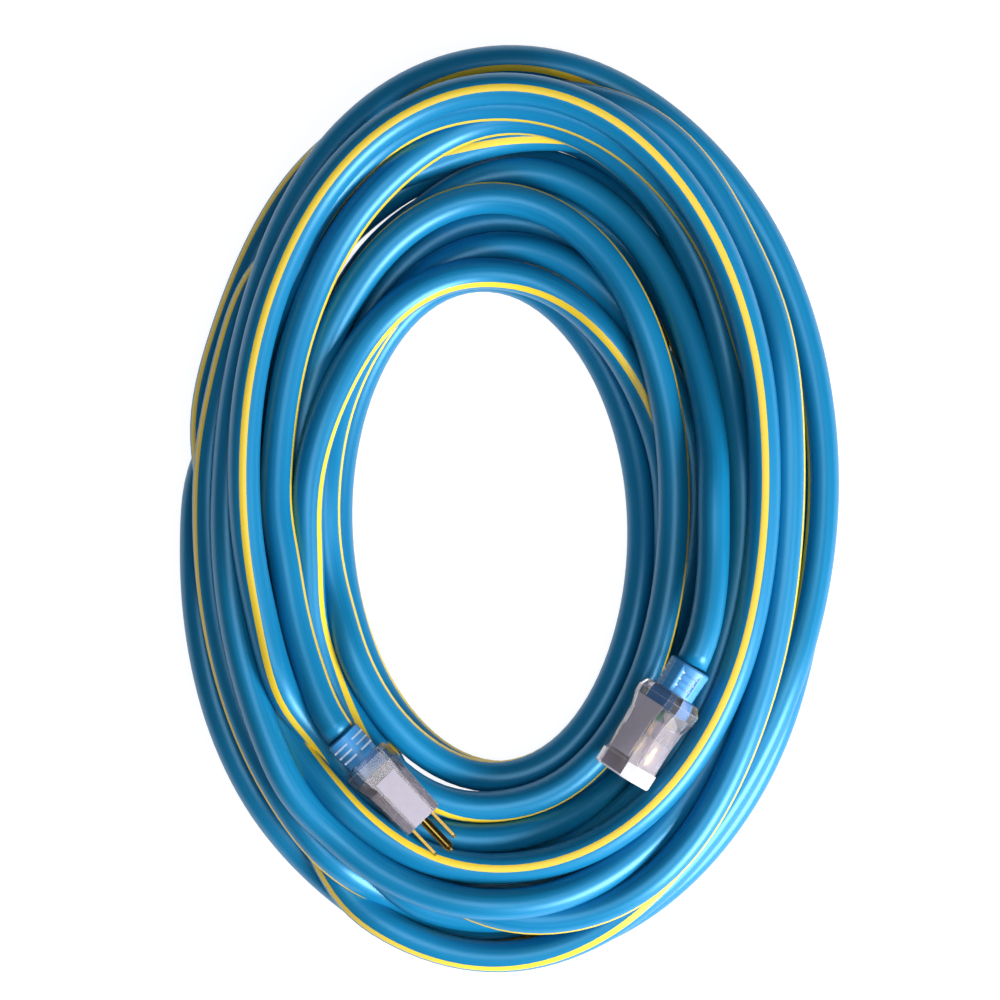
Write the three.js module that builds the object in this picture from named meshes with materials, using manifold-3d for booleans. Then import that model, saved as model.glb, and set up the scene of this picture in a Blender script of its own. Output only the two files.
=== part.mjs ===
// Heavy-duty shore power cord: a thick three-conductor cord wound into an oval coil that lies flat,
// with a clear moulded grounded plug on one end and a clear moulded connector on the other.
// Millimetres, +Z up, coil lying on Z = 0 with its long way along Y, origin under the coil's middle.
import * as THREE from 'three';
import { mergeVertices } from 'three/addons/utils/BufferGeometryUtils.js';
import Module from 'manifold-3d';

const wasm = await Module();
wasm.setup();

// Driving dimensions.
const CORD_DIAMETER = 15.5;
const CORD_RADIUS = CORD_DIAMETER / 2;
const COIL = { width: 320, length: 455, height: 48, edge: 11 };
const COIL_HOLE = { width: 141, length: 235, x: -8.5, y: -9.5 };
const GAP = 0.3;

// The standard layout of two blades and a ground pin, the same in the plug and the connector.
const BLADE = { spacing: 12.7, thickness: 1.5, width: 6.35, reach: 17, holeRadius: 1.6, holeFromTip: 4.6 };
const GROUND = { rise: 11.9, radius: 2.375, reach: 20, noseLength: 3 };

// Each end fitting is built with +X out of its front, +Y across the blades and +Z towards the ground pin.
const PLUG = { length: 41, x: -71.7, y: -119.9, z: 63, heading: -46.4, roll: -8 };
const CONNECTOR = { length: 47, x: 77.9, y: -87.9, z: 66.7, heading: -122.5, roll: 33 };
const PLUG_BLADE_Z = -5.9;
const CONNECTOR_BLADE_Z = -5.4;

// Stations along each clear body: distance from its rear, half-width, half-height and chamfer.
const PLUG_STATIONS = [
  { x: 0, width: 11.2, height: 11.6, chamfer: 4.4 },
  { x: 2.5, width: 13, height: 13, chamfer: 4.8 },
  { x: 8.5, width: 12.8, height: 13, chamfer: 4.8 },
  { x: 16, width: 11.3, height: 12.8, chamfer: 4.4 },
  { x: 39.6, width: 10.2, height: 12.4, chamfer: 3.6 },
  { x: 41, width: 9.8, height: 12, chamfer: 3.4 },
];
const CONNECTOR_STATIONS = [
  { x: 0, width: 11.4, height: 12.4, chamfer: 4.6 },
  { x: 4, width: 13.4, height: 15, chamfer: 5 },
  { x: 8, width: 13.2, height: 15, chamfer: 5 },
  { x: 15, width: 11.2, height: 13.6, chamfer: 4.4 },
  { x: 24, width: 10.6, height: 13.2, chamfer: 4 },
  { x: 38.6, width: 10.6, height: 13.2, chamfer: 4 },
  { x: 39, width: 11.3, height: 13.8, chamfer: 4 },
  { x: 46.2, width: 11.3, height: 13.8, chamfer: 4 },
  { x: 47, width: 10.7, height: 13.2, chamfer: 3.8 },
];
const PANEL = { height: 0.7, width: 11.4 };
const PLUG_PANEL = { start: 13, end: 40.6, from: 12.5 };
const CONNECTOR_PANEL = { start: 11, end: 37, from: 13.2 };

// Strain reliefs: a grooved sleeve behind the clear body and an anchor block moulded into it.
const PLUG_RELIEF = { reach: 15.6, rearRadius: 9.2, frontRadius: 8.7, grooveArc: 0.62 };
const CONNECTOR_RELIEF = { reach: 15.6, rearRadius: 10.6, frontRadius: 10.1, grooveArc: 0.42 };
const RELIEF_GROOVE = { count: 3, pitch: 3.4, width: 1, depth: 1.3, fromRear: 4 };
const ANCHOR = { width: 13, start: 0.6, depth: 8, neck: 1.2, neckRadius: 6 };

// Wiring inside each end: three insulated conductors leave the anchor in a triangle.
const WIRE = { start: 8.3, end: 15.7, straight: 3.4, radius: 2, spread: 3.1, lowAngle: 0.17 * Math.PI };
const CRIMP = { start: 16, end: 22.5, radius: 2.2 };
const CHAMBER = { halfWidth: 9, halfHeight: 9.8, start: 8.2, end: 24.2, chamfer: 1.8 };
const BRIDGE = { start: 24.5, end: 30, halfWidth: 8.6, halfHeight: 10.2, chamfer: 2.6 };

// The connector's socket block, its contacts and its indicator lamp.
const INSERT = { start: 24.5, end: 46.6, halfWidth: 9, halfHeight: 11.4, chamfer: 2.6 };
const SLOT = { width: 2.1, hotHeight: 6.9, neutralHeight: 7.4, groundRadius: 2.7 };
const CONTACT = { start: 27, end: 42.6, leaf: 0.6, outerWidth: 3.1, height: 6, tang: 0.8, pocketEnd: 43 };
const GROUND_CONTACT = { innerRadius: 2.5, outerRadius: 3.1, slit: 1 };
const LAMP = { x: 27.4, y: 6.4, z: 0.3, radius: 1.75, length: 9, leadRadius: 0.35, leadSpread: 0.7 };
const RESISTOR = { start: 16.5, end: 22.5, y: 0, z: -0.5, radius: 1.1 };

// The cord between the coil and each end fitting, lying on the coil and rising to the fitting's axis.
const PLUG_TAIL = [
  [-111, -19, 56.2],
  [-107.4, -44, 57.2],
  [-101, -69, 59.4],
];
const CONNECTOR_TAIL = [
  [97.6, 16, 56.2],
  [97.8, -14, 57.6],
  [96.6, -38, 61.6],
];

const LOOKS = {
  jacket: { color: 0x1f86c0, roughness: 0.42, metalness: 0 },
  relief: { color: 0x3b82cc, roughness: 0.45, metalness: 0 },
  clear: { color: 0xc9c4d6, roughness: 0.12, metalness: 0, transparent: true, opacity: 0.45 },
  bridge: { color: 0xd8d4e0, roughness: 0.3, metalness: 0 },
  brass: { color: 0xb08a3c, roughness: 0.25, metalness: 1 },
  black: { color: 0x18181a, roughness: 0.5, metalness: 0 },
  white: { color: 0xe6e6e2, roughness: 0.5, metalness: 0 },
  green: { color: 0x2c8a46, roughness: 0.5, metalness: 0 },
  lamp: { color: 0xffe79a, roughness: 0.1, metalness: 0 },
  resistor: { color: 0xcdb98c, roughness: 0.6, metalness: 0 },
  tin: { color: 0xb9bcc0, roughness: 0.3, metalness: 1 },
};

const model = new THREE.Group();

// Booleans.

function solidOf(geometry) {
  const bare = geometry.clone();
  bare.deleteAttribute('normal');
  bare.deleteAttribute('uv');
  const merged = mergeVertices(bare, 1e-4);
  const vertProperties = new Float32Array(merged.attributes.position.array);
  const triVerts = new Uint32Array(merged.index.array);
  return new wasm.Manifold(new wasm.Mesh({ numProp: 3, vertProperties, triVerts }));
}

function geometryOf(solid) {
  const mesh = solid.getMesh();
  const geometry = new THREE.BufferGeometry();
  geometry.setAttribute('position', new THREE.BufferAttribute(mesh.vertProperties, 3));
  geometry.setIndex(new THREE.BufferAttribute(mesh.triVerts, 1));
  geometry.computeVertexNormals();
  return geometry;
}

function cut(geometry, ...cutters) {
  const rest = cutters.reduce((solid, cutter) => solid.subtract(solidOf(cutter)), solidOf(geometry));
  return geometryOf(rest);
}

function join(...geometries) {
  return geometryOf(geometries.map(solidOf).reduce((sum, solid) => sum.add(solid)));
}

// Shapes, all along the fitting's X axis.

function block(x0, x1, y, z, width, height) {
  const box = new THREE.BoxGeometry(x1 - x0, width, height);
  return box.translate((x0 + x1) / 2, y, z);
}

function rod(x0, x1, y, z, radius, sides = 20) {
  const cylinder = new THREE.CylinderGeometry(radius, radius, x1 - x0, sides);
  return cylinder.rotateZ(-Math.PI / 2).translate((x0 + x1) / 2, y, z);
}

function turned(profile, sides) {
  const points = profile.map(([x, radius]) => new THREE.Vector2(radius, x));
  return new THREE.LatheGeometry(points, sides).rotateZ(-Math.PI / 2);
}

function chamferedRing({ x, width, height, chamfer }) {
  const corner = [
    [width, height - chamfer],
    [width - chamfer, height],
  ];
  const upper = [...corner, ...corner.toReversed().map(([y, z]) => [-y, z])];
  const lower = upper.map(([y, z]) => [-y, -z]);
  return [...upper, ...lower].map(([y, z]) => [x, y, z]);
}

function loft(stations) {
  const rings = stations.map(chamferedRing);
  const sides = rings[0].length;
  const last = (rings.length - 1) * sides;
  const faces = [];
  for (let start = 0; start < last; start += sides) {
    for (let side = 0; side < sides; side += 1) {
      const a = start + side;
      const b = start + ((side + 1) % sides);
      faces.push(a, b, a + sides);
      faces.push(b, b + sides, a + sides);
    }
  }
  for (let side = 1; side < sides - 1; side += 1) {
    faces.push(0, side + 1, side);
    faces.push(last, last + side, last + side + 1);
  }
  const geometry = new THREE.BufferGeometry();
  geometry.setAttribute('position', new THREE.Float32BufferAttribute(rings.flat(2), 3));
  geometry.setIndex(faces);
  return geometry;
}

function chamferedBlock({ start, end, halfWidth, halfHeight, chamfer }, clearance = 0) {
  const section = { width: halfWidth + clearance, height: halfHeight + clearance, chamfer };
  return loft([
    { x: start - clearance, ...section },
    { x: end + clearance, ...section },
  ]);
}

function circleShape(radius, sides) {
  const corners = Array.from({ length: sides }, (_, index) => {
    const angle = (2 * Math.PI * index) / sides;
    return new THREE.Vector2(radius * Math.cos(angle), radius * Math.sin(angle));
  });
  return new THREE.Shape(corners);
}

function tubeAlong(extrudePath, radius, sides, steps) {
  return new THREE.ExtrudeGeometry(circleShape(radius, sides), { steps, bevelEnabled: false, extrudePath });
}

function tube(points, radius, sides, steps) {
  const path = new THREE.CatmullRomCurve3(points.map((point) => new THREE.Vector3(...point)));
  return tubeAlong(path, radius, sides, steps);
}

function arcCutter(x, width, innerRadius, outerRadius, middle, arc) {
  const shape = new THREE.Shape();
  shape.absarc(0, 0, outerRadius, middle - arc, middle + arc, false);
  shape.absarc(0, 0, innerRadius, middle + arc, middle - arc, true);
  const ring = new THREE.ExtrudeGeometry(shape, { depth: width, bevelEnabled: false, curveSegments: 8 });
  // The sector is drawn across Y and Z, with its depth along X.
  ring.rotateX(Math.PI / 2).rotateZ(Math.PI / 2);
  return ring.translate(x, 0, 0);
}

function place(parent, name, geometry, look) {
  const mesh = new THREE.Mesh(geometry, new THREE.MeshStandardMaterial(look));
  mesh.name = name;
  parent.add(mesh);
}

// The cord.

function oval(target, { width, length, x = 0, y = 0 }) {
  target.absellipse(x, y, width / 2, length / 2, 0, 2 * Math.PI, false);
  return target;
}

function coilGeometry() {
  const { edge, height } = COIL;
  const inset = { width: COIL.width - 2 * edge, length: COIL.length - 2 * edge };
  const hole = { ...COIL_HOLE, width: COIL_HOLE.width + 2 * edge, length: COIL_HOLE.length + 2 * edge };
  const outline = oval(new THREE.Shape(), inset);
  outline.holes.push(oval(new THREE.Path(), hole));
  const ring = new THREE.ExtrudeGeometry(outline, {
    depth: height - 2 * edge,
    curveSegments: 36,
    bevelThickness: edge,
    bevelSize: edge,
    bevelSegments: 3,
  });
  return ring.translate(0, 0, edge);
}

// The cord's last points run straight into the back of a fitting's strain relief.
function entry({ x, y, z, heading }, reach) {
  const angle = THREE.MathUtils.degToRad(heading);
  const behind = [reach + CORD_DIAMETER * 0.6, reach + GAP];
  return behind.map((back) => [x - back * Math.cos(angle), y - back * Math.sin(angle), z]);
}

function buildCord() {
  place(model, 'coil', coilGeometry(), LOOKS.jacket);
  const plugRoute = [...PLUG_TAIL, ...entry(PLUG, PLUG_RELIEF.reach)];
  place(model, 'plug_tail', tube(plugRoute, CORD_RADIUS, 12, 5), LOOKS.jacket);
  const connectorRoute = [...CONNECTOR_TAIL, ...entry(CONNECTOR, CONNECTOR_RELIEF.reach)];
  place(model, 'connector_tail', tube(connectorRoute, CORD_RADIUS, 12, 5), LOOKS.jacket);
}

// Pieces that both ends have.

function fittingGroup({ x, y, z, heading, roll }) {
  const group = new THREE.Group();
  group.position.set(x, y, z);
  group.rotation.set(THREE.MathUtils.degToRad(roll), 0, THREE.MathUtils.degToRad(heading), 'ZYX');
  model.add(group);
  return group;
}

function strainRelief({ reach, rearRadius, frontRadius, grooveArc }) {
  const { neckRadius } = ANCHOR;
  const sleeve = turned(
    [
      [-reach, 0],
      [-reach, rearRadius - 0.8],
      [-reach + 0.8, rearRadius],
      [-GAP, frontRadius],
      [-GAP, neckRadius],
      [ANCHOR.neck, neckRadius],
      [ANCHOR.neck, 0],
    ],
    28,
  );
  const anchor = block(ANCHOR.start, ANCHOR.depth, 0, 0, ANCHOR.width, ANCHOR.width);
  const grooves = [];
  for (let row = 0; row < RELIEF_GROOVE.count; row += 1) {
    const x = -reach + RELIEF_GROOVE.fromRear + row * RELIEF_GROOVE.pitch;
    for (let quarter = 0; quarter < 4; quarter += 1) {
      const middle = Math.PI / 4 + (quarter * Math.PI) / 2;
      const floor = frontRadius - RELIEF_GROOVE.depth;
      grooves.push(arcCutter(x, RELIEF_GROOVE.width, floor, rearRadius + 1, middle, grooveArc));
    }
  }
  return cut(join(sleeve, anchor), ...grooves);
}

function wire(endY, endZ, startAngle) {
  const startY = WIRE.spread * Math.cos(startAngle);
  const startZ = WIRE.spread * Math.sin(startAngle);
  const path = new THREE.CubicBezierCurve3(
    new THREE.Vector3(WIRE.start, startY, startZ),
    new THREE.Vector3(WIRE.start + WIRE.straight, startY, startZ),
    new THREE.Vector3(WIRE.end - WIRE.straight, endY, endZ),
    new THREE.Vector3(WIRE.end, endY, endZ),
  );
  return tubeAlong(path, WIRE.radius, 10, 6);
}

function buildWires(group, prefix, bladeZ) {
  const side = BLADE.spacing / 2;
  const groundZ = bladeZ + GROUND.rise;
  place(group, `${prefix}_wire_hot`, wire(-side, bladeZ, Math.PI + WIRE.lowAngle), LOOKS.black);
  place(group, `${prefix}_wire_neutral`, wire(side, bladeZ, -WIRE.lowAngle), LOOKS.white);
  place(group, `${prefix}_wire_ground`, wire(0, groundZ, Math.PI / 2), LOOKS.green);
}

function withPanels(stations, { start, end, from }) {
  const top = block(start, end, 0, from, PANEL.width, 2 * PANEL.height);
  const bottom = block(start, end, 0, -from, PANEL.width, 2 * PANEL.height);
  return join(loft(stations), top, bottom);
}

function anchorPocket() {
  const neck = rod(-1, ANCHOR.neck + 1, 0, 0, ANCHOR.neckRadius + GAP, 28);
  const width = ANCHOR.width + 2 * GAP;
  return join(neck, block(ANCHOR.start - GAP, ANCHOR.depth + GAP, 0, 0, width, width));
}

// The plug.

function plugBlade(side) {
  const tip = PLUG.length + BLADE.reach;
  const half = BLADE.width / 2;
  const nose = 1.6;
  const outline = new THREE.Shape();
  outline.moveTo(CRIMP.end - 1, -half);
  outline.lineTo(tip - nose, -half);
  outline.lineTo(tip, -half + nose);
  outline.lineTo(tip, half - nose);
  outline.lineTo(tip - nose, half);
  outline.lineTo(CRIMP.end - 1, half);
  outline.closePath();
  const hole = new THREE.Path();
  hole.absarc(tip - BLADE.holeFromTip, 0, BLADE.holeRadius, 0, 2 * Math.PI, true);
  outline.holes.push(hole);
  const depth = BLADE.thickness;
  const plate = new THREE.ExtrudeGeometry(outline, { depth, bevelEnabled: false, curveSegments: 10 });
  plate.translate(0, 0, -depth / 2).rotateX(Math.PI / 2).translate(0, side, PLUG_BLADE_Z);
  return join(plate, rod(CRIMP.start, CRIMP.end, side, PLUG_BLADE_Z, CRIMP.radius));
}

function plugGroundPin() {
  const tip = PLUG.length + GROUND.reach;
  const { radius, noseLength } = GROUND;
  const pin = turned(
    [
      [CRIMP.end - 1, 0],
      [CRIMP.end - 1, radius],
      [tip - noseLength, radius],
      [tip - noseLength * 0.35, radius * 0.74],
      [tip, radius * 0.3],
      [tip, 0],
    ],
    20,
  );
  const z = PLUG_BLADE_Z + GROUND.rise;
  return join(pin.translate(0, 0, z), rod(CRIMP.start, CRIMP.end, 0, z, CRIMP.radius + 0.2));
}

function prongHoles(x0, x1) {
  const side = BLADE.spacing / 2;
  const width = BLADE.thickness + 2 * GAP;
  const height = BLADE.width + 2 * GAP;
  return [
    block(x0, x1, -side, PLUG_BLADE_Z, width, height),
    block(x0, x1, side, PLUG_BLADE_Z, width, height),
    rod(x0, x1, 0, PLUG_BLADE_Z + GROUND.rise, GROUND.radius + GAP),
  ];
}

function plugShell() {
  const body = withPanels(PLUG_STATIONS, PLUG_PANEL);
  return cut(
    body,
    anchorPocket(),
    chamferedBlock(CHAMBER),
    chamferedBlock(BRIDGE, GAP),
    ...prongHoles(BRIDGE.end, PLUG.length + 1),
  );
}

function buildPlug() {
  const group = fittingGroup(PLUG);
  const side = BLADE.spacing / 2;
  place(group, 'plug_strain_relief', strainRelief(PLUG_RELIEF), LOOKS.relief);
  place(group, 'plug_shell', plugShell(), LOOKS.clear);
  const bridge = cut(chamferedBlock(BRIDGE), ...prongHoles(BRIDGE.start - 1, BRIDGE.end + 1));
  place(group, 'plug_bridge', bridge, LOOKS.bridge);
  place(group, 'plug_blade_hot', plugBlade(-side), LOOKS.brass);
  place(group, 'plug_blade_neutral', plugBlade(side), LOOKS.brass);
  place(group, 'plug_ground_pin', plugGroundPin(), LOOKS.brass);
  buildWires(group, 'plug', PLUG_BLADE_Z);
}

// The connector.

function socketInsert() {
  const side = BLADE.spacing / 2;
  const groundZ = CONNECTOR_BLADE_Z + GROUND.rise;
  const front = INSERT.end + 1;
  const rear = INSERT.start - 1;
  const pocketWidth = CONTACT.outerWidth + 2 * GAP;
  const pocketHeight = CONTACT.height + 2 * GAP;
  return cut(
    chamferedBlock(INSERT),
    block(rear, front, -side, CONNECTOR_BLADE_Z, SLOT.width, SLOT.hotHeight),
    block(rear, front, side, CONNECTOR_BLADE_Z, SLOT.width, SLOT.neutralHeight),
    rod(rear, front, 0, groundZ, SLOT.groundRadius),
    block(rear, CONTACT.pocketEnd, -side, CONNECTOR_BLADE_Z, pocketWidth, pocketHeight),
    block(rear, CONTACT.pocketEnd, side, CONNECTOR_BLADE_Z, pocketWidth, pocketHeight),
    rod(rear, CONTACT.pocketEnd, 0, groundZ, GROUND_CONTACT.outerRadius + GAP),
    rod(rear, LAMP.x + LAMP.length + GAP, LAMP.y, LAMP.z, LAMP.radius + GAP),
  );
}

function connectorShell() {
  const pocket = { ...INSERT, end: CONNECTOR.length + 1 };
  const body = withPanels(CONNECTOR_STATIONS, CONNECTOR_PANEL);
  return cut(body, anchorPocket(), chamferedBlock(CHAMBER), chamferedBlock(pocket, GAP));
}

function lineContact(side) {
  const z = CONNECTOR_BLADE_Z;
  const { start, end, leaf, outerWidth, height, tang } = CONTACT;
  const leafOffset = (outerWidth - leaf) / 2;
  return join(
    rod(CRIMP.start, CRIMP.end, side, z, CRIMP.radius),
    block(CRIMP.end - 1, start, side, z, tang, CRIMP.radius * 1.6),
    block(start - 0.4, start + leaf, side, z, outerWidth, height),
    block(start, end, side - leafOffset, z, leaf, height),
    block(start, end, side + leafOffset, z, leaf, height),
  );
}

function groundContact() {
  const z = CONNECTOR_BLADE_Z + GROUND.rise;
  const { innerRadius, outerRadius, slit } = GROUND_CONTACT;
  const sleeve = cut(
    rod(CONTACT.start, CONTACT.end, 0, z, outerRadius),
    rod(CONTACT.start + 1, CONTACT.end + 1, 0, z, innerRadius),
    block(CONTACT.start + 3, CONTACT.end + 1, 0, z + outerRadius, slit, outerRadius),
  );
  return join(
    sleeve,
    rod(CRIMP.start, CRIMP.end, 0, z, CRIMP.radius),
    block(CRIMP.end - 1, CONTACT.start + 0.5, 0, z, CRIMP.radius * 1.6, CONTACT.tang),
  );
}

function lampBulb() {
  const { x, y, z, radius, length } = LAMP;
  const bulb = turned(
    [
      [x, 0],
      [x, radius * 0.8],
      [x + 1, radius],
      [x + length * 0.8, radius],
      [x + length * 0.93, radius * 0.66],
      [x + length, radius * 0.2],
      [x + length, 0],
    ],
    18,
  );
  return bulb.translate(0, y, z);
}

function resistorBody() {
  const { start, end, y, z, radius } = RESISTOR;
  const body = turned(
    [
      [start, 0],
      [start, radius * 0.8],
      [start + 0.5, radius],
      [start + 1.5, radius],
      [start + 1.9, radius * 0.86],
      [end - 1.9, radius * 0.86],
      [end - 1.5, radius],
      [end - 0.5, radius],
      [end, radius * 0.8],
      [end, 0],
    ],
    16,
  );
  return body.translate(0, y, z);
}

function buildLamp(group) {
  const { x, y, z, leadRadius, leadSpread } = LAMP;
  const rear = x - GAP;
  place(group, 'connector_lamp', lampBulb(), LOOKS.lamp);
  place(group, 'connector_lamp_resistor', resistorBody(), LOOKS.resistor);
  const toResistor = [
    [rear, y - leadSpread, z],
    [rear - 2, y - leadSpread, z],
    [rear - 3.4, 3.2, -0.2],
    [RESISTOR.end + GAP, 0.2, RESISTOR.z],
  ];
  const toNeutral = [
    [rear, y + leadSpread, z],
    [rear - 2, y + leadSpread, z],
    [rear - 4.6, 6.6, -0.9],
    [20, 6.4, -2.5],
  ];
  const toHot = [
    [RESISTOR.start - GAP, 0, RESISTOR.z],
    [15.2, -0.9, -1.5],
    [16, -2.3, -3],
    [18.5, -3.6, -4],
  ];
  place(group, 'connector_lamp_lead_series', tube(toResistor, leadRadius, 8, 10), LOOKS.tin);
  place(group, 'connector_lamp_lead_neutral', tube(toNeutral, leadRadius, 8, 10), LOOKS.tin);
  place(group, 'connector_lamp_lead_hot', tube(toHot, leadRadius, 8, 10), LOOKS.tin);
}

function buildConnector() {
  const group = fittingGroup(CONNECTOR);
  const side = BLADE.spacing / 2;
  place(group, 'connector_strain_relief', strainRelief(CONNECTOR_RELIEF), LOOKS.relief);
  place(group, 'connector_shell', connectorShell(), LOOKS.clear);
  place(group, 'connector_insert', socketInsert(), LOOKS.bridge);
  place(group, 'connector_contact_hot', lineContact(-side), LOOKS.brass);
  place(group, 'connector_contact_neutral', lineContact(side), LOOKS.brass);
  place(group, 'connector_contact_ground', groundContact(), LOOKS.brass);
  buildWires(group, 'connector', CONNECTOR_BLADE_Z);
  buildLamp(group);
}

buildCord();
buildPlug();
buildConnector();

export default model;
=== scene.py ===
"""The looks of a shore power cord: a thick striped cord in nearly seventeen turns, with two clear ends.

The cord is laid turn by turn across an oval ring, let down under its own weight until the turns rest on
each other, and swept as one tube from the plug to the connector. Lengths are metres, and values marked
with MM are given in millimetres.
"""

import math
from collections import namedtuple

import bmesh
import bpy
import numpy as np
from mathutils import Matrix, Vector


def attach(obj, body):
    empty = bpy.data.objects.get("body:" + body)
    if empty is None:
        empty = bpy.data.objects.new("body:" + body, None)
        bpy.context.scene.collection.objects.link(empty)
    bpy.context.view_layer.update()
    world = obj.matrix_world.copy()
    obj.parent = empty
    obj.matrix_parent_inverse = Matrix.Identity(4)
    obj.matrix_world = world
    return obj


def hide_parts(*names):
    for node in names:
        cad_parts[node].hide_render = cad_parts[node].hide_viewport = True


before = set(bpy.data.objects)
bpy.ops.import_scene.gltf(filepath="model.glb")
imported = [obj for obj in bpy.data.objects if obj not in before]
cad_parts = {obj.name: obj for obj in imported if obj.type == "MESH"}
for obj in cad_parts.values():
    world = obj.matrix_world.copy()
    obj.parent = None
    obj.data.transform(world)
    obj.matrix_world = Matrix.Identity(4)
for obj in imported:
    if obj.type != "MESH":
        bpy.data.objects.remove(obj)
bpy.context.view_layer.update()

MM = 0.001

# The cord, as a tube: its cross-sections are this far apart, and its first sides are the stripe.
CORD_DIAMETER = 15.5 * MM
CORD_RADIUS = CORD_DIAMETER / 2
CORD_SIDES = 28
STRIPE_SIDES = 2
RING_SPACING = 6.4 * MM

# The oval ring that the cord is wound on.
RING_OUTSIDE = {"middle": (0, 0), "half": (164.9 * MM, 233.2 * MM)}
RING_INSIDE = {"middle": (-8.3 * MM, -9.8 * MM), "half": (67.3 * MM, 115.1 * MM)}

# The two ends in millimetres and degrees, as the CAD model places them: +X out of the front and +Z
# towards the ground pin. A strain relief reaches this far back, and the cord starts a gap behind it.
PLUG = {"x": -71.7, "y": -119.9, "z": 63, "heading": -46.4, "roll": -8}
CONNECTOR = {"x": 77.9, "y": -87.9, "z": 66.7, "heading": -122.5, "roll": 33}
ENDS = {"plug": PLUG, "connector": CONNECTOR}
RELIEF_REACH = 15.6
GAP = 0.3
STRAIGHT_DIAMETERS = 0.6

# The two tails, in millimetres: the stretches of cord that lead from the coil to the ends.
PLUG_TAIL = [(-111.0, -19, 56.2), (-107.4, -44, 57.2), (-101, -69, 59.4)]
CONNECTOR_TAIL = [(97.6, 16, 56.2), (97.8, -14, 57.6), (96.6, -38, 61.6)]

# One line for each turn, from the plug to the connector. The twelve numbers are places across the ring,
# in percent from its outer edge, every 30 degrees clockwise from the left. The first string says how
# high the turn lies at each of them, 0 lowest. The second says where its stripe is: 5 on top, 8 near the
# outer edge, 2 near the inner.
KNOT_STEP = 30
TURNS = [
    ([None] * 10 + [65, 62], "000000000088", "222222222222"),
    ([58, 50, 40, 30, 33, 43, 49, 53, 55, 56, 61, 64], "888766766633", "222211111124"),
    ([68, 64, 61, 61, 67, 76, 82, 82, 82, 81, 74, 72], "455667777555", "798888888863"),
    ([71, 76, 85, 92, 90, 85, 79, 75, 72, 68, 68, 73], "777777444553", "323345676433"),
    ([70, 70, 68, 68, 66, 71, 77, 84, 88, 93, 94, 91], "334422222223", "322222222222"),
    ([87, 85, 86, 91, 95, 95, 94, 94, 93, 94, 93, 85], "333333345666", "111111111222"),
    ([80, 80, 80, 79, 78, 79, 73, 68, 65, 69, 67, 58], "554333333212", "222222222468"),
    ([49, 42, 34, 35, 39, 43, 47, 50, 53, 55, 51, 51], "355444333211", "887443222222"),
    ([56, 64, 60, 57, 57, 59, 59, 62, 67, 70, 58, 50], "111111234668", "111112468986"),
    ([40, 31, 22, 22, 25, 32, 41, 44, 51, 56, 47, 36], "999999999897", "555555555542"),
    ([36, 27, 26, 28, 29, 32, 38, 39, 37, 39, 34, 28], "568887666888", "112222111111"),
    ([30, 26, 12, 9, 10, 7, 11, 20, 20, 12, 10, 17], "888745555553", "123432236777"),
    ([24, 11, 13, 26, 11, 23, 30, 29, 22, 32, 43, 40], "455677777741", "777988888888"),
    ([29, 22, 17, 14, 14, 15, 18, 14, 16, 16, 11, 4], "111111133335", "542222222222"),
    ([12, 13, 20, 24, 22, 24, 28, 27, 27, 28, 21, 18], "322222222456", "222345678888"),
    ([19, 21, 26, 31, 32, 37, 42, 42, 44, 46, 44, 42], "672222222211", "777777777777"),
    ([43, 38, 47, 47, 44, 38, 34, 34, 33, 31, 30, 39], "111111123554", "888999999999"),
    ([63, 64, 63, 50, 50, 58, 63, 65] + [None] * 4, "355555670000", "999999999999"),
]
STRIPE_ON_TOP = 5
STRIPE_STEP = math.radians(25)

# The stretch that is worked out, in degrees: where it starts and how far apart its samples are. Its first
# and last samples stand for the tails. They are held at the tails' heights, so that the turns make room.
FIRST_ANGLE = 320
SECTION_STEP = 5
PLUG_TAIL_UNTIL = 360
CONNECTOR_TAIL_SPAN = 30
TABLE_ROUNDING = 8
ROUTE_ROUNDING = 6
POINTS_PER_SPAN = 12

# How the turns are let down: the stack that they start from, and what happens in each step.
OPEN_STACK = 1.05
SETTLE_STEPS = 1500
FALL = 0.35 * MM
LATE_PART = 0.8
LATE_FALL = 0.3
PUSHES = 3
BENDING = 0.45

# A turn in the layers that show keeps little of its drift from its place, and gives way less than a
# hidden one. A pinned sample hardly gives way at all.
SEEN_LAYER = 5
DRIFT_KEPT_SEEN = 0.6
DRIFT_KEPT_HIDDEN = 0.985
YIELD_SEEN = 0.08
YIELD_PINNED = 1e-3
GIVE_AT_EDGES = 0.5 * MM

# Two samples of different layers cross where their places are closer than this. There the upper one is
# raised again when it has sunk beside the lower. A sample with many neighbours moves less for each.
CROSSING_WIDTH = 0.8 * CORD_DIAMETER
LOWEST_SLOPE = 0.3
RAISE = CORD_DIAMETER * 0.2
CROWDING = 0.6
NO_DISTANCE = 1e-9

Contacts = namedtuple("Contacts", "first second above skew share crossing")


def linear(red, green, blue):
    """A screen colour, 0 to 255, as the linear colour that a shader takes."""
    return tuple(((value / 255) ** 2.2) for value in (red, green, blue)) + (1,)


# The cord's route.


def on_oval(oval, angle):
    """Points of an oval, the angle going clockwise from its left end."""
    turned = np.pi - angle
    x = oval["middle"][0] + oval["half"][0] * np.cos(turned)
    y = oval["middle"][1] + oval["half"][1] * np.sin(turned)
    return np.stack([x, y], axis=-1)


def directions(points):
    """The unit vector along a row of points at each of them."""
    heading = np.gradient(points, axis=0)
    return heading / np.linalg.norm(heading, axis=1)[:, None]


def knots():
    """The table of turns as one row of knots: angle, place across the ring, layer and stripe."""
    rows = []
    for turn, (places, layers, stripes) in enumerate(TURNS):
        for index, place in enumerate(places):
            if place is not None:
                angle = turn * 360 + index * KNOT_STEP
                rows.append((angle, place / 100, int(layers[index]), int(stripes[index])))
    return np.array(rows, float).T


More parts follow.
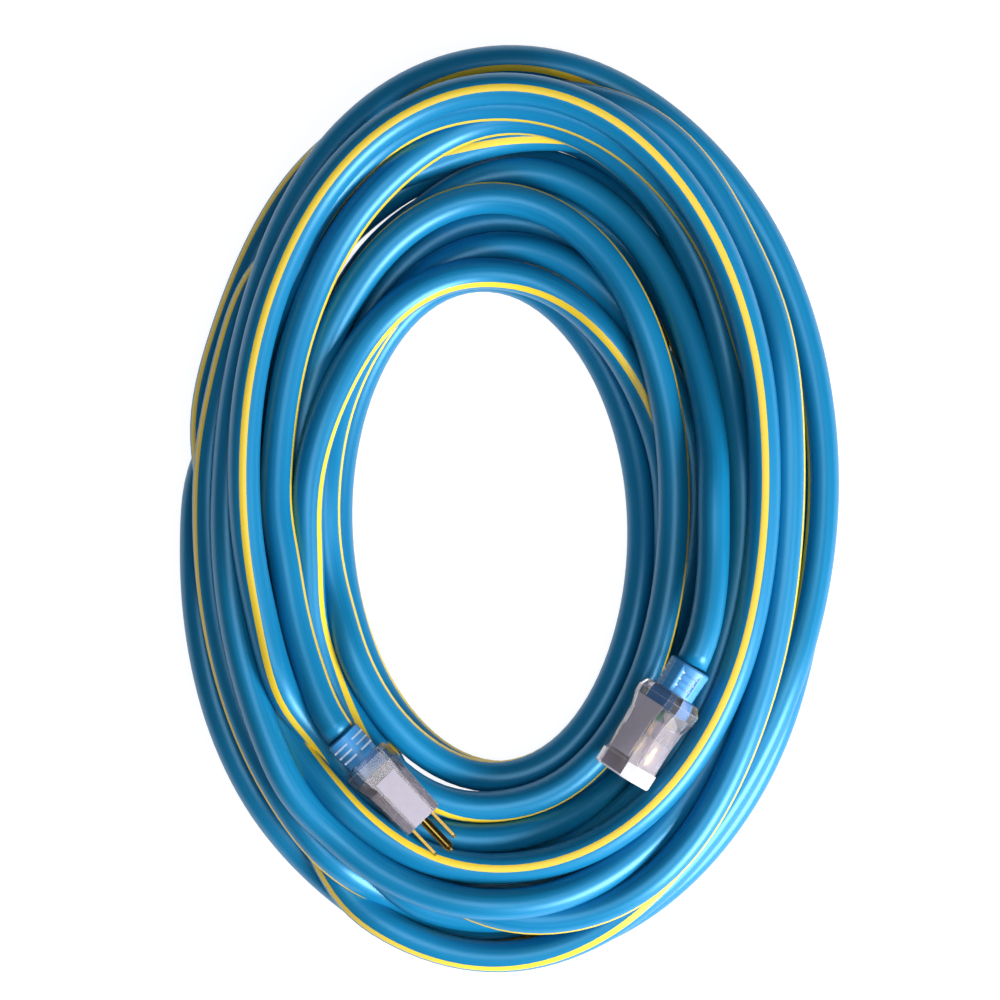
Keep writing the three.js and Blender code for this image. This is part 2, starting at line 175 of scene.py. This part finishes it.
def rounded(values, passes):
    """The values with their corners rounded off, the two ends kept."""
    for _ in range(passes):
        values = values.copy()
        values[1:-1] += (values[:-2] - 2 * values[1:-1] + values[2:]) / 4
    return values


def pairs_in_sections(sections):
    """Every two samples of the cord that lie in the same section of the ring."""
    first, second = [], []
    for section in range(360 // SECTION_STEP):
        members = np.flatnonzero(sections == section)
        upper, lower = np.triu_indices(len(members), 1)
        first.append(members[upper])
        second.append(members[lower])
    return np.concatenate(first), np.concatenate(second)


def possible_contacts(target, layer, square, sections, pinned):
    """Every pair in a section: which is above, how squarely they pass, and the first's share of a push."""
    first, second = pairs_in_sections(sections)
    above = np.sign(layer[first] - layer[second])
    skew = (square[first] + square[second]) / 2
    give = np.where(pinned, YIELD_PINNED, np.where(layer >= SEEN_LAYER, YIELD_SEEN, 1))
    share = give[first] / (give[first] + give[second])
    crossing = (above != 0) & (abs(target[first] - target[second]) * skew < CROSSING_WIDTH)
    return Contacts(first, second, above, skew, share, crossing)


def settle(target, layer, limits, fixed, contacts):
    """Lets the turns down from an open stack until they rest on each other: their place and height."""
    pinned = fixed > 0
    kept = np.where(layer >= SEEN_LAYER, DRIFT_KEPT_SEEN, DRIFT_KEPT_HIDDEN)
    place = target.copy()
    height = np.where(pinned, fixed, CORD_RADIUS + layer * CORD_DIAMETER * OPEN_STACK)
    for step in range(SETTLE_STEPS):
        late = step > SETTLE_STEPS * LATE_PART
        height -= FALL * (LATE_FALL if late else 1)
        drift = place - target
        for values in (drift, height, drift, height):
            straighten(values)
        place = target + kept * drift
        for _ in range(PUSHES):
            push_apart(place, height, contacts)
            place = np.where(pinned, target, np.clip(place, *limits))
            height = np.where(pinned, fixed, np.maximum(height, CORD_RADIUS))
    return place, height


def straighten(values):
    """Moves each value towards the middle of its neighbours, as a stiff cord does."""
    values[1:-1] += BENDING * ((values[:-2] + values[2:]) / 2 - values[1:-1])


def push_apart(place, height, contacts):
    """Moves each two samples that lie in each other apart, and keeps the upper one up."""
    sideways = (place[contacts.first] - place[contacts.second]) * contacts.skew
    upward = height[contacts.first] - height[contacts.second]
    distance = np.hypot(sideways, upward) + NO_DISTANCE
    overlap = CORD_DIAMETER - distance
    touching = overlap > 0
    swapped = touching & contacts.crossing & (upward / distance * contacts.above < LOWEST_SLOPE)
    along = np.where(swapped, 0, sideways / distance)
    up = np.where(swapped, contacts.above, upward / distance)
    amount = np.where(swapped, RAISE, np.where(touching, overlap, 0))
    count = np.zeros_like(place)
    shift = np.zeros_like(place)
    rise = np.zeros_like(place)
    for samples, share in ((contacts.first, contacts.share), (contacts.second, contacts.share - 1)):
        np.add.at(count, samples, touching)
        np.add.at(shift, samples, share * along * amount)
        np.add.at(rise, samples, np.sign(share) * up * amount / 2)
    thinned = 1 / np.maximum(1, count * CROWDING)
    place += shift * thinned
    height += rise * thinned


def edges_of_ring(target, sections):
    """How far out and how far in each sample may move: as far as the turns of its section reach."""
    outermost = np.array([target[sections == section].min() for section in sections])
    innermost = np.array([target[sections == section].max() for section in sections])
    return outermost - GIVE_AT_EDGES, innermost + GIVE_AT_EDGES


def coil():
    """The wound part of the cord: its points, and its stripe's angle from the top at each of them."""
    angles, places, layers, stripes = knots()
    samples = np.arange(FIRST_ANGLE, angles[-1] - SECTION_STEP, SECTION_STEP)
    across = rounded(np.interp(samples, angles, places), TABLE_ROUNDING)
    layer = np.interp(samples, angles, layers)
    stripe = (np.interp(samples, angles, stripes) - STRIPE_ON_TOP) * STRIPE_STEP
    stripe = rounded(stripe, TABLE_ROUNDING)

    outside = on_oval(RING_OUTSIDE, np.radians(samples))
    inside = on_oval(RING_INSIDE, np.radians(samples))
    width = np.linalg.norm(inside - outside, axis=1)
    inward = (inside - outside) / width[:, None]
    target = across * width
    heading = directions(outside + inward * target[:, None])
    square = abs(heading[:, 0] * inward[:, 1] - heading[:, 1] * inward[:, 0])
    sections = (np.round(samples / SECTION_STEP).astype(int)) % (360 // SECTION_STEP)

    to_plug = int((samples < PLUG_TAIL_UNTIL).sum())
    to_connector = int((samples > samples[-1] - CONNECTOR_TAIL_SPAN).sum())
    fixed = np.zeros_like(target)
    fixed[:to_plug] = np.linspace(PLUG["z"], PLUG_TAIL[0][2], to_plug) * MM
    fixed[-to_connector:] = np.linspace(CONNECTOR_TAIL[0][2], CONNECTOR["z"], to_connector) * MM

    contacts = possible_contacts(target, layer, square, sections, fixed > 0)
    place, height = settle(target, layer, edges_of_ring(target, sections), fixed, contacts)
    points = np.column_stack([outside + inward * place[:, None], height])
    return points[to_plug:-to_connector], stripe[to_plug:-to_connector]


def entry(end):
    """Two points that lead the cord straight into the back of an end's strain relief."""
    angle = math.radians(end["heading"])
    points = []
    for back in (RELIEF_REACH + STRAIGHT_DIAMETERS * CORD_DIAMETER / MM, RELIEF_REACH + GAP):
        points.append((end["x"] - back * math.cos(angle), end["y"] - back * math.sin(angle), end["z"]))
    return points


def through(points, values, spacing):
    """Points at even spacing on a smooth curve through the given points, and the values carried along."""
    count = len(points)
    padded = np.vstack([2 * points[0] - points[1], points, 2 * points[-1] - points[-2]])
    fine = np.linspace(0, count - 1, count * POINTS_PER_SPAN)
    start = np.minimum(fine.astype(int), count - 2)
    t = (fine - start)[:, None]
    before, here, there, beyond = (padded[start + offset] for offset in range(4))
    curve = 0.5 * (2 * here + (there - before) * t
                   + (2 * before - 5 * here + 4 * there - beyond) * t ** 2
                   + (3 * here - before - 3 * there + beyond) * t ** 3)
    travelled = np.concatenate([[0], np.cumsum(np.linalg.norm(np.diff(curve, axis=0), axis=1))])
    places = np.linspace(0, travelled[-1], round(travelled[-1] / spacing))
    even = np.column_stack([np.interp(places, travelled, curve[:, axis]) for axis in range(3)])
    carried = np.interp(places, travelled, np.interp(fine, range(count), values))
    return even, carried


def route():
    """The whole cord, from the plug's strain relief to the connector's."""
    wound, stripe = coil()
    from_plug = np.array(entry(PLUG)[::-1] + PLUG_TAIL[::-1]) * MM
    to_connector = np.array(CONNECTOR_TAIL + entry(CONNECTOR)) * MM
    points = np.vstack([from_plug, wound, to_connector])
    at_plug = np.full(len(from_plug), stripe[0])
    at_connector = np.full(len(to_connector), stripe[-1])
    even, turned = through(points, np.concatenate([at_plug, stripe, at_connector]), RING_SPACING)
    smooth = [rounded(even[:, axis], ROUTE_ROUNDING) for axis in range(3)]
    return np.column_stack(smooth), turned


# Meshes.


def add_piece(name, mesh, slots):
    """A shown piece that rides with the object."""
    piece = bpy.data.objects.new(name, mesh)
    bpy.context.scene.collection.objects.link(piece)
    for material in slots:
        mesh.materials.append(material)
    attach(piece, "root")
    return piece


def cross_sections(shape, path, turns):
    """The tube's rings of vertices, each turned so that its first sides are on the stripe."""
    heading = directions(path)
    outward = np.column_stack([-heading[:, 1], heading[:, 0], np.zeros(len(path))])
    outward /= np.linalg.norm(outward, axis=1)[:, None]
    upward = np.cross(outward, heading)
    upward *= np.sign(upward[:, 2:3])
    rings = []
    for centre, side, up, turn in zip(path, outward, upward, turns):
        angles = turn + (np.arange(CORD_SIDES) - STRIPE_SIDES / 2) * 2 * np.pi / CORD_SIDES
        ring = [centre + CORD_RADIUS * (side * math.sin(angle) + up * math.cos(angle)) for angle in angles]
        rings.append([shape.verts.new(point) for point in ring])
    return rings


def swept(name, path, turns, slots):
    """A round tube along the path, its first sides on the stripe, closed at both ends."""
    mesh = bpy.data.meshes.new(name)
    shape = bmesh.new()
    uv_layer = shape.loops.layers.uv.new("cord")
    rings = cross_sections(shape, path, turns)
    for row, (ring, following) in enumerate(zip(rings, rings[1:])):
        for side in range(CORD_SIDES):
            after = (side + 1) % CORD_SIDES
            face = shape.faces.new((ring[side], ring[after], following[after], following[side]))
            face.smooth = True
            face.material_index = int(side < STRIPE_SIDES)
            corners = ((side, row), (side + 1, row), (side + 1, row + 1), (side, row + 1))
            for loop, (around, along) in zip(face.loops, corners):
                loop[uv_layer].uv = (around / CORD_SIDES, along * RING_SPACING)
    shape.faces.new(rings[0])
    shape.faces.new(rings[-1][::-1])
    bmesh.ops.recalc_face_normals(shape, faces=shape.faces)
    shape.to_mesh(mesh)
    shape.free()
    return add_piece(name, mesh, slots)


# Materials.

WHITE = (1, 1, 1, 1)
PLASTIC_IOR = 1.46
GRAIN_DETAIL = 4
GRAIN_DEPTH = 0.2 * MM
CORD_STREAKS = {"coordinates": "UV", "stretch": (40, 1.5, 1)}
RELIEF_RINGS = (900, 30, 30)
RELIEF_BLUES = (linear(70, 152, 214), linear(44, 122, 190))
JACKET_SHEEN = linear(150, 215, 255)


def grain_noise(nodes, links, grain, stretch, turn, coordinates):
    """A noise of the given grain, stretched along the axes and turned about Z by some degrees."""
    place = nodes.new("ShaderNodeTexCoord")
    scaled = nodes.new("ShaderNodeMapping")
    scaled.vector_type = "TEXTURE"
    scaled.inputs["Rotation"].default_value = (0, 0, math.radians(turn))
    scaled.inputs["Scale"].default_value = [1 / factor for factor in stretch]
    links.new(place.outputs[coordinates], scaled.inputs["Vector"])
    noise = nodes.new("ShaderNodeTexNoise")
    noise.inputs["Scale"].default_value = grain
    noise.inputs["Detail"].default_value = GRAIN_DETAIL
    links.new(scaled.outputs["Vector"], noise.inputs["Vector"])
    return noise


def surface(name, light, dark, roughness, grain, bump=0.1, stretch=(1, 1, 1), turn=0,
            coordinates="Object", **settings):
    """A moulded or extruded surface: two tones, uneven gloss and a fine grain, all from one noise."""
    material = bpy.data.materials.new(name)
    material.use_nodes = True
    nodes, links = material.node_tree.nodes, material.node_tree.links
    shader = nodes["Principled BSDF"]
    for setting, value in settings.items():
        shader.inputs[setting.replace("_", " ")].default_value = value
    noise = grain_noise(nodes, links, grain, stretch, turn, coordinates)
    tone = nodes.new("ShaderNodeMix")
    tone.data_type = "RGBA"
    tone.inputs["A"].default_value = dark
    tone.inputs["B"].default_value = light
    links.new(noise.outputs["Fac"], tone.inputs["Factor"])
    links.new(tone.outputs["Result"], shader.inputs["Base Color"])
    gloss = nodes.new("ShaderNodeMapRange")
    gloss.inputs["To Min"].default_value = roughness[0]
    gloss.inputs["To Max"].default_value = roughness[1]
    links.new(noise.outputs["Fac"], gloss.inputs["Value"])
    links.new(gloss.outputs["Result"], shader.inputs["Roughness"])
    relief = nodes.new("ShaderNodeBump")
    relief.inputs["Strength"].default_value = bump
    relief.inputs["Distance"].default_value = GRAIN_DEPTH
    links.new(noise.outputs["Fac"], relief.inputs["Height"])
    links.new(relief.outputs["Normal"], shader.inputs["Normal"])
    return material


def cord_materials():
    """The blue jacket, with a sheen of its own colour, and its yellow stripe."""
    return {
        "jacket": surface("jacket_blue", linear(25, 126, 174), linear(13, 102, 148), (0.32, 0.42), 1.0,
                          0.06, **CORD_STREAKS, Specular_Tint=JACKET_SHEEN, Specular_IOR_Level=1.0),
        "stripe": surface("stripe_yellow", linear(232, 200, 56), linear(216, 184, 44), (0.36, 0.46), 1.0,
                          0.06, **CORD_STREAKS),
    }


def relief_materials():
    """The blue strain reliefs, their grain in rings round each end's own axis, and the painted highlight of
    their grooves: a whitish blue with a faint glow.
    """
    return {
        "plug_relief": surface("plug_relief_blue", *RELIEF_BLUES, (0.4, 0.5), 1, 0.5, RELIEF_RINGS,
                               PLUG["heading"]),
        "connector_relief": surface("connector_relief_blue", *RELIEF_BLUES, (0.4, 0.5), 1, 0.5,
                                    RELIEF_RINGS, CONNECTOR["heading"]),
        # Painted highlight: the grooves are whitish and glow a little, standing in for light caught in
        # them.
        "groove_highlight": surface("groove_painted_highlight", linear(214, 232, 248), linear(186, 214, 240), (0.4, 0.5), 400,
                        Emission_Color=WHITE, Emission_Strength=0.1),
    }


def body_materials():
    """The clear, milky and frosted plastics of the two moulded bodies and of what is inside them, with a
    painted glint on their rounded edges and a painted glow on the collar.
    """
    return {
        "clear": surface("clear_body", linear(240, 240, 246), linear(222, 218, 228), (0.03, 0.1), 160,
                         Transmission_Weight=0.97, IOR=PLASTIC_IOR),
        "milky": surface("milky_body", linear(226, 220, 230), linear(200, 192, 206), (0.06, 0.18), 120,
                         Transmission_Weight=0.8, IOR=PLASTIC_IOR),
        "panel": surface("frosted_panel", linear(196, 190, 206), linear(180, 174, 192), (0.4, 0.55), 300,
                         Transmission_Weight=0.12, IOR=PLASTIC_IOR),
        # Painted glint: the rounded edges are white and glow, standing in for light caught on them.
        "edge": surface("painted_edge_glint", linear(255, 255, 255), linear(242, 242, 248), (0.1, 0.2), 200,
                        Emission_Color=WHITE, Emission_Strength=0.4),
        # Painted glow: the collar is whiter and glows a little, standing in for light reflected off the
        # front rim.
        "collar": surface("collar_plastic_painted_glow", linear(246, 244, 250), linear(226, 222, 234), (0.06, 0.16), 160,
                          Transmission_Weight=0.45, Emission_Color=WHITE, Emission_Strength=0.12,
                          IOR=PLASTIC_IOR),
        "bridge": surface("bridge_plastic", linear(232, 229, 238), linear(214, 210, 224), (0.3, 0.4), 220,
                          Transmission_Weight=0.5, IOR=PLASTIC_IOR),
    }


def circuit_materials():
    """The metals, the insulated conductors and the small parts of the lamp."""
    return {
        "brass": surface("brass", linear(158, 134, 72), linear(96, 78, 36), (0.16, 0.3), 700, Metallic=1.0),
        "wire_black": surface("wire_black", linear(40, 40, 42), linear(26, 26, 28), (0.4, 0.5), 700),
        "wire_white": surface("wire_white", linear(236, 236, 230), linear(220, 220, 214), (0.4, 0.5), 700),
        "wire_green": surface("wire_green", linear(60, 160, 90), linear(40, 132, 70), (0.4, 0.5), 700),
        "lamp": surface("lamp_glass", linear(255, 246, 180), linear(255, 238, 150), (0.05, 0.12), 300,
                        Transmission_Weight=0.3, Emission_Color=linear(255, 240, 130),
                        Emission_Strength=18.0),
        "resistor": surface("resistor_body", linear(206, 188, 146), linear(186, 166, 124), (0.45, 0.6),
                            900),
        "tin": surface("tinned_lead", linear(200, 203, 208), linear(176, 180, 186), (0.25, 0.4), 900,
                       Metallic=1.0),
    }


# The camera, the light and the floor. A light is given by its place, its size and its power, and it
# shines at the middle of the coil.

WORLD_STRENGTH = 0.06
CAMERA_PLACE = (-5.9 * MM, 5.4 * MM, 2.54)
CAMERA_SENSOR = 36
CAMERA_LENS = 184.4
CAMERA_CLIP_END = 50
LIGHTS = {
    "key": ((1.8, -1.6, 1.2), 1.2, 145),
    "overhead": ((0.3, -0.3, 3.2), 1.6, 38),
}
FLOOR_HALF = 4
FLOOR_DROP = 0.4 * MM


def set_world():
    """Even white light from all around."""
    world = bpy.data.worlds.new("studio")
    world.use_nodes = True
    background = world.node_tree.nodes["Background"]
    background.inputs["Color"].default_value = WHITE
    background.inputs["Strength"].default_value = WORLD_STRENGTH
    bpy.context.scene.world = world
    bpy.context.scene.view_settings.view_transform = "Standard"


def add_camera():
    """A camera that looks straight down on the coil."""
    camera = bpy.data.objects.new("camera", bpy.data.cameras.new("camera"))
    camera.location = CAMERA_PLACE
    camera.data.sensor_width = CAMERA_SENSOR
    camera.data.lens = CAMERA_LENS
    camera.data.clip_end = CAMERA_CLIP_END
    bpy.context.scene.collection.objects.link(camera)
    bpy.context.scene.camera = camera


def add_light(name, place, size, power):
    """A square light that shines at the middle of the coil."""
    lamp = bpy.data.lights.new(name, "AREA")
    lamp.size = size
    lamp.energy = power
    light = bpy.data.objects.new(name, lamp)
    light.location = place
    light.rotation_euler = (-Vector(place)).to_track_quat("-Z", "Y").to_euler()
    bpy.context.scene.collection.objects.link(light)


def add_floor():
    """A sheet of white paper just under the coil."""
    corners = [(-1, -1), (1, -1), (1, 1), (-1, 1)]
    mesh = bpy.data.meshes.new("floor")
    mesh.from_pydata([(x * FLOOR_HALF, y * FLOOR_HALF, 0) for x, y in corners], [], [(0, 1, 2, 3)])
    floor = bpy.data.objects.new("floor", mesh)
    floor.location.z = -FLOOR_DROP
    paper = surface("floor_paper", linear(140, 140, 142), linear(128, 128, 130), (0.7, 0.8), 30, 0.02,
                    Emission_Color=WHITE, Emission_Strength=0.92)
    mesh.materials.append(paper)
    bpy.context.scene.collection.objects.link(floor)


def set_stage():
    """Everything that isn't the object."""
    set_world()
    add_camera()
    for name, (place, size, power) in LIGHTS.items():
        add_light(name, place, size, power)
    add_floor()


# The pieces of the two ends. Each has a list of materials, a way to choose one of them for a face, and the
# width of its rounded edges. A last material named "edge", a white painted glint that glows, goes on those
# rounded edges. Lengths are millimetres in the end's own frame.

PANEL_LEVEL = {"plug": 12.9, "connector": 13.7}
CLEAR_REAR = 12.4
COLLAR_FROM = {"plug": 40.8, "connector": 39.5}
GROOVES_FROM = -12
GROOVE_FLOOR = {"plug": 8.3, "connector": 9.7}
# The grooves' painted highlight shows where the angle round the axis is more than this many degrees from
# the diagonals.
GROOVE_HIGHLIGHT_FROM = {"plug": 0, "connector": 19}
MERGE_DISTANCE = 0.002 * MM
FLAT_ANGLE = math.radians(1)
SHARP_ANGLE = math.radians(28)
ROUNDING_STEPS = 3


def plain(end, place):
    """The only material of a piece."""
    return 0


def shell_part(end, place):
    """A clear body's milky middle, clear rear, frosted panels and the collar at its front, which has a
    painted glow.
    """
    on_panel = abs(place.z) > PANEL_LEVEL[end]
    if place.x > COLLAR_FROM[end]:
        return 0 if on_panel else 3
    if place.x < CLEAR_REAR:
        return 1
    return 2 if on_panel else 0


def groove_part(end, place):
    """Where a strain relief's grooves get their painted highlight, which on the connector's shows at their
    ends only.
    """
    in_groove = GROOVES_FROM < place.x < 0 and math.hypot(place.y, place.z) < GROOVE_FLOOR[end]
    from_middle = abs(math.degrees(math.atan2(place.z, place.y)) % 90 - 45)
    return int(in_groove and from_middle > GROOVE_HIGHLIGHT_FROM[end])


SHELL_LOOKS = (["milky", "clear", "panel", "collar", "edge"], shell_part, 0.3)
WIRES = {"hot": "wire_black", "neutral": "wire_white", "ground": "wire_green"}
NODE_LOOKS = {
    "plug_strain_relief": (["plug_relief", "groove_highlight"], groove_part, 0),
    "plug_shell": SHELL_LOOKS,
    "plug_bridge": (["bridge"], plain, 0.3),
    "plug_blade_hot": (["brass"], plain, 0.2),
    "plug_blade_neutral": (["brass"], plain, 0.2),
    "plug_ground_pin": (["brass"], plain, 0.2),
    "connector_strain_relief": (["connector_relief", "groove_highlight"], groove_part, 0),
    "connector_shell": SHELL_LOOKS,
    "connector_insert": (["bridge"], plain, 0.3),
    "connector_contact_hot": (["brass"], plain, 0.1),
    "connector_contact_neutral": (["brass"], plain, 0.1),
    "connector_contact_ground": (["brass"], plain, 0.1),
    "connector_lamp": (["lamp"], plain, 0.2),
    "connector_lamp_resistor": (["resistor"], plain, 0),
    "connector_lamp_lead_series": (["tin"], plain, 0),
    "connector_lamp_lead_neutral": (["tin"], plain, 0),
    "connector_lamp_lead_hot": (["tin"], plain, 0),
}
for end_name in ENDS:
    for core, look in WIRES.items():
        NODE_LOOKS[f"{end_name}_wire_{core}"] = ([look], plain, 0)


def own_frame(end):
    """Turns a point of the scene into one in an end's own frame, in millimetres."""
    heading = Matrix.Rotation(math.radians(end["heading"]), 3, "Z")
    roll = Matrix.Rotation(math.radians(end["roll"]), 3, "X")
    placed = Matrix.Translation((end["x"], end["y"], end["z"])) @ (heading @ roll).to_4x4()
    return placed.inverted() @ Matrix.Scale(1 / MM, 4)


def cleaned(node, choose):
    """A CAD piece's mesh with its flat faces in one piece each, and the chosen material on each face."""
    end = node.split("_")[0]
    to_own = own_frame(ENDS[end])
    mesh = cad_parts[node].data.copy()
    mesh.materials.clear()
    shape = bmesh.new()
    shape.from_mesh(mesh)
    bmesh.ops.remove_doubles(shape, verts=shape.verts, dist=MERGE_DISTANCE)
    bmesh.ops.dissolve_limit(shape, angle_limit=FLAT_ANGLE, verts=shape.verts, edges=shape.edges)
    for face in shape.faces:
        face.smooth = True
        face.material_index = choose(end, to_own @ face.calc_center_median())
    shape.to_mesh(mesh)
    shape.free()
    return mesh


def refined(node, looks, choose, rounding):
    """A CAD piece with its edges rounded over, smooth faces and a material for each part of it."""
    mesh = cleaned(node, choose)
    piece = add_piece(f"{node}_fine", mesh, [materials[look] for look in looks])
    if rounding:
        bevel = piece.modifiers.new("rounded edges", "BEVEL")
        bevel.width = rounding * MM
        bevel.segments = ROUNDING_STEPS
        bevel.angle_limit = SHARP_ANGLE
        bevel.harden_normals = True
        # The rounded edges take the painted glint, where the piece has one.
        bevel.material = looks.index("edge") if "edge" in looks else -1
    mesh.set_sharp_from_angle(angle=SHARP_ANGLE)
    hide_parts(node)
    return piece


set_stage()
materials = {**cord_materials(), **relief_materials(), **body_materials(), **circuit_materials()}
cord_path, stripe_turns = route()
cord = swept("cord", cord_path, stripe_turns, [materials["jacket"], materials["stripe"]])
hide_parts("coil", "plug_tail", "connector_tail")
ends = [refined(node, *looks) for node, looks in NODE_LOOKS.items()]
